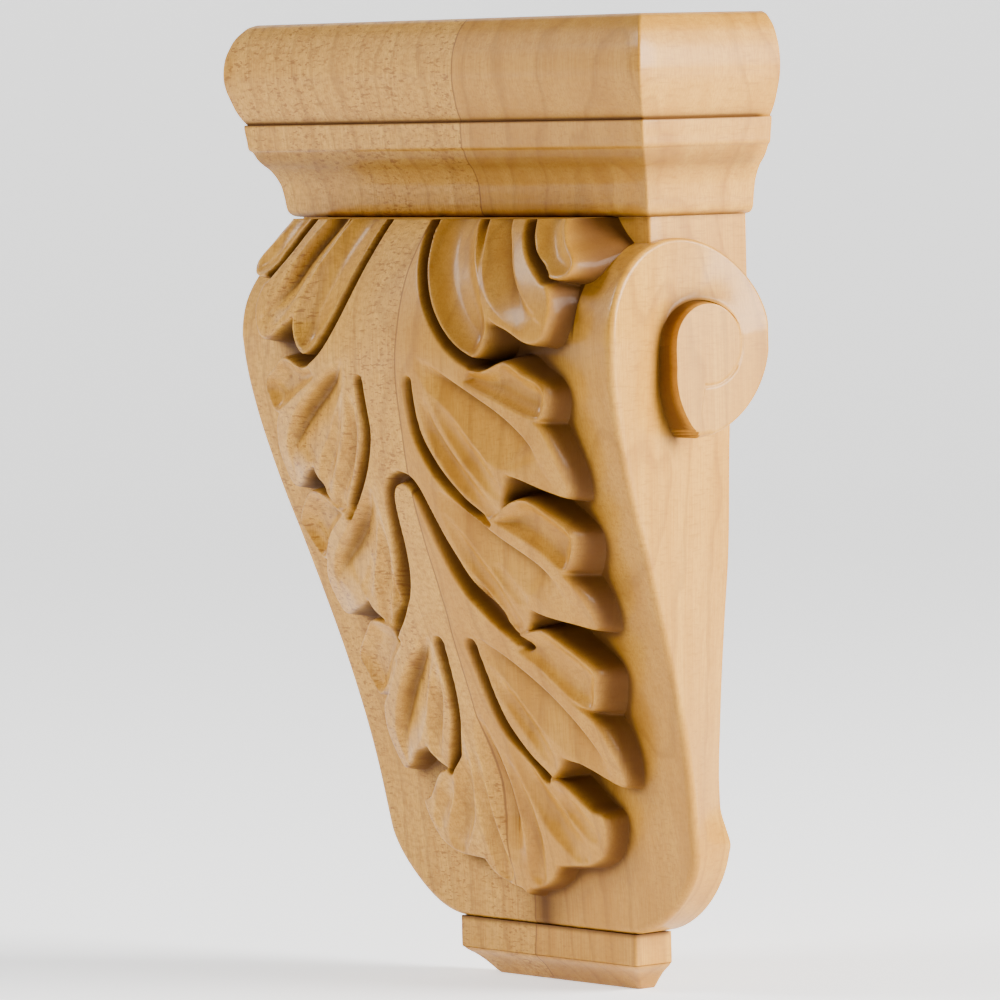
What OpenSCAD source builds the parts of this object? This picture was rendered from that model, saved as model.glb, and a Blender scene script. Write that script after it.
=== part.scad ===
// Low-profile acanthus corbel: a moulded cap over a scrolled console with a leaf carved on its front.
// The back is flat and stands on the wall at y = 0, the front looks along -y and z = 0 is mid-height.

/* [Overall] */
// Height from the underside of the foot to the top of the cap
overall_h = 254; // [230:1:300]
// Width of the neck, which the cap stands out from
neck_w = 142.4; // [120:0.1:175]
// Depth of the neck from the wall
neck_d = 32.6; // [26:0.1:40]

/* [Cap] */
// Height of the cap moulding
cap_h = 51.4; // [44:0.1:60]
// How far the bullnose stands out from the neck
nose_out = 14.6; // [11:0.1:17]
// How far the flat fillet under the bullnose stands out
fillet_out = 10.6; // [8:0.1:12]
// How far the lowest band of the cap stands out
band_out = 3.3; // [2:0.1:5]
// Height of the fullest point of the bullnose below the top
nose_drop = 13.3; // [11:0.1:16]
// Radius of the bullnose above its fullest point
nose_top_r = 16.7; // [16:0.1:22]
// Radius of the bullnose below its fullest point
nose_low_r = 24.3; // [20:0.1:30]
// Height of the flat fillet
fillet_h = 6.4; // [4:0.1:8]
// Height of the ogee between the fillet and the band
ogee_h = 11; // [8:0.1:12]

/* [Console] */
// Width of the console across its front level with the scroll
console_w = 152.7; // [130:0.1:172]
// Depth of the console's front face at its fullest point
console_d = 50.6; // [44:0.1:60]
// Narrowing of each side for each millimetre of height
side_taper = 0.102; // [0.06:0.001:0.12]
// How far the side's back edge is set in behind its front edge
side_draft = 9; // [3:0.1:10]
// Steepest lean of the front's S-curve
lean = 21; // [15:0.5:24]
// Lean of the front near the bottom
toe_lean = 8.5; // [5:0.5:10]
// Radius of the belly below the scroll
belly_r = 95; // [80:1:110]
// Radius of the hollow above the toe
hollow_r = 200; // [170:1:220]
// Length of the straight slope between belly and hollow
slope_h = 45.5; // [35:0.5:55]
// Radius of the console's rounded bottom corners, seen from the front
corner_r = 24.5; // [18:0.5:30]
// Radius of the front arrises
arris_r = 1.6; // [1:0.1:3]

/* [Scroll] */
// Radius of the scroll on each side
scroll_r = 25.6; // [22:0.1:30]
// Drop from the cap's underside to the scroll's centre
scroll_drop = 31.1; // [27:0.1:36]
// How far the scroll stands out from the console's front edge at the wall
scroll_rise = 3.4; // [2:0.1:6]
// Radius of the scroll's eye
eye_r = 10.8; // [9:0.1:13]

/* [Leaf] */
// Full width of the leaf
leaf_w = 131; // [110:1:140]
// Thickness of the leaf along its middle
leaf_t = 14; // [10:0.5:16]
// Thickness of the leaf at its bottom tip
tip_t = 6; // [4:0.5:8]
// How much lower the leaf is at its outer tips than in the middle
leaf_crown = 5.5; // [3:0.5:7]
// Depth of the spoon hollow in each lobe
spoon = 2.6; // [1:0.1:4]
// Height of the leaf's bottom tip below the lowest sprigs
tip_h = 32.8; // [28:0.1:38]
// Number of pairs of sprigs below the top fan
sprigs = 3; // [2:1:3]

/* [Foot] */
// Width of the foot block
foot_w = 72; // [60:0.5:84]
// Depth of the foot block
foot_d = 12.3; // [10:0.1:16]
// Height of the foot block
foot_h = 15.2; // [12:0.1:18]
// Size of the bevel round the foot's lower edge
bevel = 6.5; // [4:0.1:8]

/* [Hidden] */
wood = [0.84, 0.68, 0.48];
top_z = overall_h / 2;
bottom_z = -overall_h / 2;
cap_z = top_z - cap_h;
nose_z = top_z - nose_drop;
cap_d = neck_d + nose_out;
scroll_z = cap_z - scroll_drop;
foot_z = bottom_z + foot_h;
neck_lap = 8;
lap = 1;
steps = 8;
rim = 0.4;
belly_z = scroll_z - belly_r * sin(lean);
belly_d = console_d - belly_r * (1 - cos(lean));
slope_z = belly_z - slope_h;
slope_d = belly_d - slope_h * tan(lean);
toe_z = slope_z - hollow_r * (sin(lean) - sin(toe_lean));
toe_d = slope_d - hollow_r * (cos(toe_lean) - cos(lean));
crown_r = 41;
corner_z = foot_z + corner_r + 1;
draft_fade = 6;
top_r = scroll_r - rim;
eye_y = -scroll_r + 6.1;
eye_z = scroll_z - 1.5;
ramp_start = 5;
ramp_end = 248;
ramp_fall = 14;

// Points of an arc about centre c, from angle a0 to angle a1
function arc(c, r, a0, a1, n = steps) =
    [for (i = [0:n], a = [a0 + (a1 - a0) * i / n]) c + r * [cos(a), sin(a)]];

// Depth of the console's front surface at height z
function front_d(z) =
    z > scroll_z ? console_d - top_r + sqrt(max(0, pow(top_r, 2) - pow(z - scroll_z, 2)))
    : z > belly_z ? console_d - belly_r + sqrt(pow(belly_r, 2) - pow(scroll_z - z, 2))
    : z > slope_z ? belly_d - (belly_z - z) * tan(lean)
    : z > toe_z ? hollow_d(z)
    : max(foot_d + 0.4, toe_d - (toe_z - z) * tan(toe_lean));

function hollow_d(z) =
    slope_d + hollow_r * cos(lean) - sqrt(pow(hollow_r, 2) - pow(hollow_r * sin(lean) - (slope_z - z), 2));

// Half the width of the console's front face at height z
function taper_w(z) = console_w / 2 + side_taper * (z - scroll_z);

corner_x = taper_w(corner_z) - corner_r;
function front_w(z) =
    z > corner_z ? taper_w(z) : corner_x + sqrt(max(0, pow(corner_r, 2) - pow(corner_z - z, 2)));

// Half the width of the console at the wall, where the side is drafted in above the bottom roll
function back_w(z) =
    front_w(z) - side_draft * min(1, max(0, (z - corner_z + draft_fade / 2) / draft_fade));

// The console's outline at height z, from the wall round the front and back to the wall
function console_ring(z) =
    let (w = front_w(z), d = front_d(z), r = min(arris_r, d / 4))
    concat(
        [[-back_w(z), 0, z]],
        [for (p = arc([r - w, r - d], r, 180, 270, 3)) [p[0], p[1], z]],
        [for (p = arc([w - r, r - d], r, 270, 360, 3)) [p[0], p[1], z]],
        [[back_w(z), 0, z]]
    );

// A closed skin over rings that each have the same number of points, lowest ring first
module skin(rings) {
    m = len(rings[0]);
    n = len(rings);
    sides = [
        for (i = [0:n - 2], j = [0:m - 1])
            let (k = (j + 1) % m)
            for (f = [[i * m + j, (i + 1) * m + k, i * m + k], [i * m + j, (i + 1) * m + j, (i + 1) * m + k]]) f
    ];
    foot_face = [for (j = [0:m - 1]) j];
    head_face = [for (j = [m - 1:-1:0]) (n - 1) * m + j];
    polyhedron([for (r = rings, p = r) p], concat(sides, [foot_face, head_face]), convexity = 6);
}

// Cap profile as [projection from the neck, height], starting and ending inside the neck
function cap_profile() =
    let (
        top_a = asin(nose_drop / nose_top_r),
        crease = nose_low_r - nose_out + fillet_out,
        low_a = acos(crease / nose_low_r),
        crease_z = nose_z - nose_low_r * sin(low_a),
        edge_z = crease_z - fillet_h,
        ogee_x = fillet_out - 0.6,
        band_z = edge_z - ogee_h,
        run = ogee_x - band_out,
        mid = [band_out + run * 0.62, edge_z - ogee_h * 0.4]
    )
    concat(
        [[-neck_lap, cap_z], [0, cap_z]],
        arc([band_out - 2, cap_z + 2], 2, 270, 360, 4),
        [for (i = [0:steps]) quad([band_out, band_z], [band_out + 0.4, band_z + ogee_h * 0.4], mid, i / steps)],
        [for (i = [1:steps]) quad(mid, [ogee_x - 0.4, edge_z - 1.6], [ogee_x, edge_z], i / steps)],
        [[fillet_out, edge_z + 0.8], [fillet_out, crease_z]],
        arc([nose_out - nose_low_r, nose_z], nose_low_r, -low_a, 0),
        arc([nose_out - nose_top_r, nose_z], nose_top_r, 0, top_a),
        [[-neck_lap, top_z]]
    );

function quad(a, b, c, t) = (1 - t) * (1 - t) * a + 2 * t * (1 - t) * b + t * t * c;

// The cap: one profile run across the front and across both sides, meeting in mitres at the corners
module cap() {
    reach = neck_w + 4 * nose_out;
    front = [for (p = cap_profile()) [-(neck_d + p[0]), p[1]]];
    right = [for (p = cap_profile()) [neck_w / 2 + p[0], p[1]]];
    left = [for (i = [len(right) - 1:-1:0]) [-right[i][0], right[i][1]]];
    intersection() {
        rotate([90, 0, 90])
            translate([0, 0, -reach / 2])
                linear_extrude(reach)
                    polygon(concat(front, [[0, top_z], [0, cap_z]]));
        rotate([90, 0, 0])
            linear_extrude(cap_d)
                polygon(concat(right, left));
    }
}

// The plain neck that joins the cap to the console
module neck() {
    translate([-neck_w / 2, -neck_d, scroll_z])
        cube([neck_w, neck_d, scroll_drop + lap]);
}

// The console: an S-curved front between tapering, drafted sides
module console() {
    low = foot_z;
    high = scroll_z + top_r - 0.05;
    levels = concat(
        [for (i = [0:10]) low + 0.3 + (corner_z - low - 0.3) * (1 - cos(90 * i / 10))],
        [for (i = [1:26]) corner_z + (scroll_z - corner_z) * i / 26],
        [for (i = [1:9]) scroll_z + (high - scroll_z) * sin(90 * i / 9)]
    );
    skin([for (z = levels) console_ring(z)]);
}

// One scroll: a disc that stands further out towards the wall, with a ramp wound down in front of its eye
module scroll() {
    edge_x = front_w(scroll_z) - arris_r / 2;
    difference() {
        translate([0, -scroll_r, scroll_z])
            rotate([0, 90, 0])
                cylinder(h = edge_x + 2 * scroll_rise, r = scroll_r - 0.02, $fn = 96);
        translate([edge_x + scroll_rise, 0, scroll_z])
            rotate([0, 0, atan(scroll_rise / console_d)])
                translate([0, -2 * console_d, -overall_h / 2])
                    cube([overall_h, 4 * console_d, overall_h]);
        skin([for (i = [0:2 * steps]) ramp_ring(ramp_start + (ramp_end - ramp_start) * i / (2 * steps))]);
    }
}

// A section of the space above the ramp, at angle a round the eye from the wall over the top to the front
function ramp_ring(a) =
    let (
        inner = a > 180 ? eye_r / cos(a - 180) : eye_r,
        low = front_w(scroll_z) + scroll_rise - ramp_fall * (a - ramp_start) / (ramp_end - ramp_start),
        y = eye_y,
        z = eye_z
    )
    [
        for (q = [[inner, 2 * scroll_rise], [2 * scroll_r, 2 * scroll_rise], [2 * scroll_r, 0], [inner, 0]])
            [q[1] > 0 ? front_w(scroll_z) + q[1] : low, y + q[0] * cos(a), z + q[0] * sin(a)]
    ];

// Depth of the surface that the leaf stands on, the console's front and above it the neck's
function ground_d(z) = max(front_d(z), z > scroll_z ? neck_d : 0);

// Depth of the leaf's middle line, which follows the front and runs on under the cap
function leaf_d(z) =
    let (over = max(0, z - scroll_z), gone = (leaf_fade - z) / (leaf_fade - leaf_tip))
    (z > scroll_z ? console_d - crown_r + sqrt(max(0, pow(crown_r, 2) - over * over)) : front_d(z))
    + leaf_t - (leaf_t - tip_t) * min(1, max(0, gone));

// Half the leaf's spread at height z, which its crown is measured over
function spread(z) = leaf_w * (0.45 + min(0, z) * 0.002);

// Half-width along a lobe: a narrow root that swells and then closes in a round tip
function lobe_w(t, root, full) = root + (full - root) * sin(90 * min(1, t / 0.65));

// A lobe of the leaf as a row of discs [x, z, radius, hollow] along a bent spine
function lobe(start, bend, tip, root, full, dish = spoon) =
    let (s = leaf_w / natural_w)
    [
        for (i = [0:beads])
            let (t = i / beads, w = lobe_w(t, root, full), c = quad(start, bend, tip, t * (1 - full / natural_w)))
            [c[0] * s, c[1], w * s, dish * sin(90 * t)]
    ];

// One side's sprig of three lobes, springing from the stem at height z, drawn at scale s across
function sprig(z, s) = concat(
    lobe([24 * s, z], [38 * s, z - sprig_pitch * 0.11], [54 * s, z - sprig_pitch * 0.31], 3.6, 5.4),
    lobe([12 * s, z + 3], [34 * s, z - sprig_pitch * 0.33], [50 * s, z - sprig_pitch * 0.92], 3.6, 6.6),
    lobe([9 * s, z], [13 * s, z - sprig_pitch * 0.56], [27 * s, z - sprig_pitch], 3.6, 5.8)
);

// One side's fan of three lobes, which hangs from under the cap
function fan(z) = concat(
    lobe([15, z + 34], [22, z + 17], [32, z + 2], 7, 8.2),
    lobe([32, z + 34], [42, z + 18], [52, z + 6], 6, 7.6),
    lobe([42, z + 36], [51, z + 29], [61, z + 20], 4.6, 4.8)
);

// One side's share of the bottom tip
function tip_lobes(z) = concat(
    lobe([6, z + 48], [11, z + 30], [25, z + 14], 5, 8.6),
    lobe([3, z + 46], [4, z + 24], [4, z + 8], 4, 8)
);

function stem() = lobe([0, cap_z + 4], [0, 0], [0, leaf_tip + 46], 9, 7, 0);

natural_w = 131;
beads = 12;
fan_h = 4.5;
leaf_tip = foot_z + 11;
sprig_pitch = (scroll_z - fan_h - tip_h - leaf_tip) / sprigs;
leaf_fade = scroll_z - 0.62 * (scroll_z - leaf_tip);
leaf_discs = concat(
    stem(),
    fan(scroll_z),
    [for (i = [0:sprigs - 1], d = sprig(scroll_z - fan_h - i * sprig_pitch, 1 - 0.1 * i)) d],
    tip_lobes(leaf_tip)
);

// Depth of the carving at a point of the front: the leaf's hollowed top, or just inside the ground beside it
function carved_d(x, z) =
    let (
        near = [for (d = leaf_discs) norm([x - d[0], z - d[1]]) / d[2]],
        v = min(near),
        dish = leaf_discs[search(v, near)[0]][3],
        top = leaf_d(z) - leaf_crown * min(1.3, pow(x / spread(z), 2)) - dish * (1 - min(1, v * v)),
        wall = min(1, max(0, (v - wall_in) / wall_run))
    )
    top + (ground_d(z) - leaf_root - top) * wall;

wall_in = 0.92;
wall_run = 0.46;
leaf_root = 1.5;
leaf_bed = 5;
cells_x = 26;
cells_z = 66;

// The leaf as one carved sheet whose bed lies inside the console, cut level under the cap
module leaf() {
    low = leaf_tip - 4;
    high = cap_z + 0.3;
    m = 2 * cells_x + 1;
    rows = [
        for (j = [0:cells_z])
            let (
                z = low + (high - low) * j / cells_z,
                reach = min(leaf_w / 2 + 1.5, front_w(z) - 5),
                half = [for (i = [0:cells_x], x = [reach * i / cells_x]) [x, carved_d(x, z)]]
            )
            [for (i = [-cells_x:cells_x], q = [half[abs(i)]]) [sign(i) * q[0], -q[1], z]]
    ];
    bed = [for (row = rows, q = [row[0], row[m - 1]]) [q[0], leaf_bed - ground_d(q[2]), q[2]]];
    last = [for (q = rows[cells_z]) [q[0], leaf_bed - ground_d(high), high]];
    n = m * (cells_z + 1);
    end = n + len(bed);
    top_faces = [
        for (j = [0:cells_z - 1], i = [0:m - 2])
            let (a = j * m + i)
            for (f = [[a, a + m + 1, a + 1], [a, a + m, a + m + 1]]) f
    ];
    bed_faces = [
        for (j = [0:cells_z - 2], k = [n + 2 * j])
            for (f = [[k, k + 1, k + 3], [k, k + 3, k + 2]]) f
    ];
    left_faces = [
        for (j = [0:cells_z - 2], k = [n + 2 * j], a = [j * m])
            for (f = [[a, k, k + 2], [a, k + 2, a + m]]) f
    ];
    right_faces = [
        for (j = [0:cells_z - 2], k = [n + 2 * j + 1], a = [j * m + m - 1])
            for (f = [[k, a, a + m], [k, a + m, k + 2]]) f
    ];
    k = n + 2 * (cells_z - 1);
    a = (cells_z - 1) * m;
    last_bed = [concat([k, k + 1], [for (i = [m - 1:-1:0]) end + i])];
    last_left = [[a, k, end], [a, end, a + m]];
    last_right = [[k + 1, a + m - 1, a + 2 * m - 1], [k + 1, a + 2 * m - 1, end + m - 1]];
    high_faces = [
        for (i = [0:m - 2], t = [cells_z * m + i])
            for (f = [[t, end + i, end + i + 1], [t, end + i + 1, t + 1]]) f
    ];
    low_face = [concat([n + 1, n], [for (i = [0:m - 1]) i])];
    polyhedron(
        concat([for (row = rows, q = row) q], bed, last),
        concat(top_faces, bed_faces, left_faces, right_faces, last_bed, last_left, last_right, high_faces, low_face),
        convexity = 8
    );
}

// Outline of the foot's outer face as [distance inside the face, height], from the lap down to the underside
function foot_profile() = [
    [0, foot_z + lap],
    [0, bottom_z + bevel + 0.6],
    [0.8, bottom_z + bevel],
    [bevel + 1, bottom_z]
];

// The foot block under the console, bevelled on its front and sides
module foot() {
    front = [for (p = foot_profile()) [p[0] - foot_d, p[1]]];
    right = [for (p = foot_profile()) [foot_w / 2 - p[0], p[1]]];
    left = [for (i = [len(right) - 1:-1:0]) [-right[i][0], right[i][1]]];
    intersection() {
        rotate([90, 0, 90])
            translate([0, 0, -foot_w])
                linear_extrude(2 * foot_w)
                    polygon(concat(front, [[0, bottom_z], [0, foot_z + lap]]));
        rotate([90, 0, 0])
            linear_extrude(foot_d)
                polygon(concat(right, left));
    }
}

module corbel() {
    color(wood)
        union() {
            cap();
            neck();
            console();
            scroll();
            mirror([1, 0, 0]) scroll();
            leaf();
            foot();
        }
}

corbel();
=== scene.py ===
import math
import bpy
import numpy as np
from mathutils import Matrix, Vector


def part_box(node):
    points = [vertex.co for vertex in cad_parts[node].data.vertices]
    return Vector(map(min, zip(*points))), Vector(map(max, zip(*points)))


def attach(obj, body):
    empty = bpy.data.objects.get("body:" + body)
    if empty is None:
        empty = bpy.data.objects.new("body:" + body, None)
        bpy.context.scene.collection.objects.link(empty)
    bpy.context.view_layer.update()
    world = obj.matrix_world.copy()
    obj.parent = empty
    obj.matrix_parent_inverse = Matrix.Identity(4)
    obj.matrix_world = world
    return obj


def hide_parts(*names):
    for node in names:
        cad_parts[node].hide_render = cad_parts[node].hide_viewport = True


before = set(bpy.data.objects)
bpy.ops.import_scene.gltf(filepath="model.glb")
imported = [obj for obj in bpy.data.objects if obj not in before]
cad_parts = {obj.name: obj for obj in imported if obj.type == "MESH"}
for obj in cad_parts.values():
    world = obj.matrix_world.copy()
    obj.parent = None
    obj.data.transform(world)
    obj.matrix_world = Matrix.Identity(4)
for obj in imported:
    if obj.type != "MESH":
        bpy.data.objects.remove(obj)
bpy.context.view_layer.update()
mm = 0.001
bottomZ, topZ = [corner[2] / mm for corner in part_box("corbel")]  # foot's underside, cap's top
print("frame loaded, blank", round(topZ - bottomZ, 1), "mm high")


def ease(t):
    t = np.clip(t, 0.0, 1.0)
    return t * t * (3.0 - 2.0 * t)


def curveAt(points, at):
    # smooth curve through (place, value) points, read at one or many places
    place, value = np.array(sorted(points), float).T
    slope = np.gradient(value, place)
    at = np.clip(at, place[0], place[-1])
    i = np.clip(np.searchsorted(place, at) - 1, 0, len(place) - 2)
    gap = place[i + 1] - place[i]
    t = (at - place[i]) / gap
    return (
        (1 + 2 * t) * (1 - t) ** 2 * value[i]
        + t * (1 - t) ** 2 * gap * slope[i]
        + t * t * (3 - 2 * t) * value[i + 1]
        + t * t * (t - 1) * gap * slope[i + 1]
    )


def smoothPath(points, closed=False, parts=6):
    # spline through every point, cut into short straight parts
    p = np.array(points, float)
    if closed:
        p = np.vstack([p[-1], p, p[:2]])
    else:
        p = np.vstack([2 * p[0] - p[1], p, 2 * p[-1] - p[-2]])
    t = (np.arange(parts) / parts)[:, None]
    out = []
    for a, b, c, d in zip(p[:-3], p[1:-2], p[2:-1], p[3:]):
        bend, twist = 2 * a - 5 * b + 4 * c - d, 3 * b - a - 3 * c + d
        out.append(0.5 * (2 * b + (c - a) * t + bend * t**2 + twist * t**3))
    out = np.vstack(out)
    return out if closed else np.vstack([out, points[-1]])


def insideDistance(outline, x, z):
    # distance to a closed outline, positive inside it
    a, b = outline, np.roll(outline, -1, axis=0)
    best = np.full(x.shape, 1e9)
    odd = np.zeros(x.shape, bool)
    for (ax, az), (bx, bz) in zip(a, b):
        ex, ez = bx - ax, bz - az
        t = np.clip(((x - ax) * ex + (z - az) * ez) / (ex * ex + ez * ez + 1e-12), 0, 1)
        best = np.minimum(best, (x - ax - t * ex) ** 2 + (z - az - t * ez) ** 2)
        if az != bz:
            odd ^= ((az > z) != (bz > z)) & (x < ax + (z - az) * ex / ez)
    return np.where(odd, 1, -1) * np.sqrt(best)


def alongPath(path, x, z):
    # distance from a path, share of its length at the nearest point, and which side of it
    a, b = path[:-1], path[1:]
    length = np.hypot(*(b - a).T)
    start = np.concatenate([[0], np.cumsum(length)[:-1]]) / length.sum()
    best = np.full(x.shape, 1e9)
    share = np.zeros(x.shape)
    left = np.zeros(x.shape, bool)
    for (ax, az), (bx, bz), s, n in zip(a, b, start, length):
        ex, ez = bx - ax, bz - az
        t = np.clip(((x - ax) * ex + (z - az) * ez) / (n * n + 1e-12), 0, 1)
        d = (x - ax - t * ex) ** 2 + (z - az - t * ez) ** 2
        near = d < best
        best = np.where(near, d, best)
        share = np.where(near, s + t * n / length.sum(), share)
        left = np.where(near, ex * (z - az) - ez * (x - ax) > 0, left)
    return np.sqrt(best), share, left


def spread(values, share):
    # a list of values laid out evenly along a path
    return np.interp(share, np.linspace(0, 1, len(values)), values)


def blur(field, cells):
    # soft average over a grid, edges held
    reach = max(1, int(cells * 3))
    weight = np.exp(-0.5 * (np.arange(-reach, reach + 1) / cells) ** 2)
    weight /= weight.sum()
    for axis in (0, 1):
        padded = np.pad(field, [(reach, reach) if k == axis else (0, 0) for k in (0, 1)], mode="edge")
        place = np.arange(field.shape[axis])
        field = sum(w * np.take(padded, place + k, axis=axis) for k, w in enumerate(weight))
    return field


pieces = []


def makePiece(name, points, faces, finishAndShade, sharp):
    # points in millimetres; the darkening for each point, 0 to 1, stands for finish pooled in hollows
    # and for painted shade in creases, at wall feet and under parts
    mesh = bpy.data.meshes.new(name)
    mesh.from_pydata((np.asarray(points, float) * mm).tolist(), [], [list(f) for f in faces])
    mesh.validate()
    mesh.polygons.foreach_set("use_smooth", [True] * len(mesh.polygons))
    mesh.set_sharp_from_angle(angle=math.radians(sharp))
    finishAndShadeValue = mesh.attributes.new("finishAndShade", "FLOAT", "POINT")
    finishAndShadeValue.data.foreach_set("value", np.clip(finishAndShade, 0, 1).ravel())
    piece = bpy.data.objects.new(name, mesh)
    bpy.context.collection.objects.link(piece)
    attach(piece, "root")
    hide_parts("corbel")
    pieces.append(piece)
    print("made", name, len(mesh.vertices), "points")


def gridFaces(rows, columns):
    i, j = np.meshgrid(np.arange(rows - 1), np.arange(columns - 1), indexing="ij")
    a = (i * columns + j).ravel()
    return np.stack([a, a + 1, a + columns + 1, a + columns], axis=1).tolist()


def ringSolid(name, rings, finishAndShade, sharp):
    # closed solid from open rings that all start and end on the wall, lowest first
    count, size = len(rings), len(rings[0])
    points = np.array(rings, float).reshape(-1, 3)
    faces = gridFaces(count, size)
    faces.append(list(range(size))[::-1])
    faces.append([(count - 1) * size + j for j in range(size)])
    back = [i * size for i in range(count)][::-1] + [i * size + size - 1 for i in range(count)]
    faces.append(back[::-1])
    makePiece(name, points, faces, finishAndShade, sharp)


console = {
    "front": [  # height, depth of the front
        (44.5, 50.7), (40, 50.5), (34.7, 49.9), (24, 47.7), (13.4, 44.6), (2.7, 41.0), (-8, 36.9),
        (-18.6, 33.0), (-29.3, 29.2), (-40, 25.6), (-50.7, 22.4), (-61.3, 19.6), (-72, 17.3),
        (-82.7, 15.5), (-93.4, 13.9), (-103, 12.9), (-112, 12.6),
    ],
    "drumCentre": (-25.2, 44.5),  # y, z of the rolled top
    "drumRadius": 25.5,
    "halfWidth": 76.35,  # at the scroll's height
    "taper": 0.102,
    "wallEdge": [  # height, half the width where the side meets the wall
        (70, 67.4), (44.5, 65.2), (17, 63.2), (-14, 61.6), (-29, 59.8), (-55, 57.3), (-74, 56.4),
        (-79, 56.8), (-84, 59.0), (-87.5, 60.3), (-90, 59.6),
    ],
    "cornerRadius": 24.5,
    "cornerCentre": (33.5, -87.0),
    "cornerSpread": 4.9,
    "underside": -111.6,
    "arris": 1.9,
}


def frontDepth(z):
    y, mid = console["drumCentre"]
    r = console["drumRadius"]
    over = np.sqrt(np.maximum(r * r - np.maximum(z - mid, 0) ** 2, 0)) - y
    return np.where(z > mid, over, curveAt(console["front"], z))


def sideWidth(z):
    # half the console's width at its front, with the round corners at the bottom
    straight = console["halfWidth"] + console["taper"] * np.minimum(z - console["drumCentre"][1], 0)
    cx, cz = console["cornerCentre"]
    fall = np.sqrt(np.maximum(console["cornerRadius"] ** 2 - np.minimum(z - cz, 0) ** 2, 0))
    round_ = cx + fall + console["cornerSpread"] * ease((z - cz + 24) / 24)
    return np.where(z > cz, straight, np.minimum(straight, round_))


def wallWidth(z):
    low, lowWidth = console["wallEdge"][-1]
    step = float(sideWidth(np.float64(low))) - lowWidth
    under = sideWidth(z) - step * (1 - 0.6 * ease((low - z) / 18))
    return np.where(z > low, np.minimum(curveAt(console["wallEdge"], z), sideWidth(z)), under)


def draft(share, z):
    # the drafted side, from the wall (0) to the front arris (1)
    return wallWidth(z) + (sideWidth(z) - wallWidth(z)) * share


def sideSurface(y, z):
    deep = frontDepth(np.minimum(z, console["drumCentre"][1])) - console["arris"]
    return draft(np.clip(-y / deep, 0, 1), z)


def edgeDistance(x, z):
    # distance in from the console's outline, seen from the front
    step = 0.05
    lean = (sideWidth(z + step) - sideWidth(z - step)) / (2 * step)
    return np.minimum((sideWidth(z) - x) / np.sqrt(1 + lean * lean), z - console["underside"])


def consoleFront(x, z):
    r = console["arris"]
    inset = np.clip(edgeDistance(np.abs(x), z), 0, r)
    return frontDepth(z) - (r - np.sqrt(np.maximum(r * r - (r - inset) ** 2, 0)))


leaf = {
    "middle": [  # height, depth of the leaf along its middle
        (78, 49.5), (76, 51.5), (66, 58.3), (55, 62.4), (45, 63.9), (34, 63.6), (20, 61.0),
        (5, 57.3), (-15, 49.5), (-36, 41.2), (-55, 34.2), (-70, 28.8), (-85, 24.0), (-101, 19.2),
        (-106, 18.0),
    ],
    "crown": [(-110, 0.0019), (30, 0.0019), (50, 0.0015), (80, 0.0015)],  # fall towards the sides
    "cell": 0.35,
    "reach": 66.5,
    "low": -104.0,
    "high": 75.5,
    "neckGround": (66.0, 32.6),  # above this height the ground is the neck's front, this deep
    "wallSlope": 6.5,
    "soften": 0.30,
    "root": 1.0,  # how far it goes below the ground
    "bed": 10.0,  # depth of its flat back
    "stainNear": (2.6, 3.2),  # width in mm that is looked over, and the depth that gives full darkening, pooled finish and painted shade
    "stainFar": (6.5, 9.0),
    "stainWall": (0.68, 1.3, 3.0),  # extra painted shade on steep walls, the slope where it starts, and its range
    "stainSoften": 0.45,
}

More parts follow.
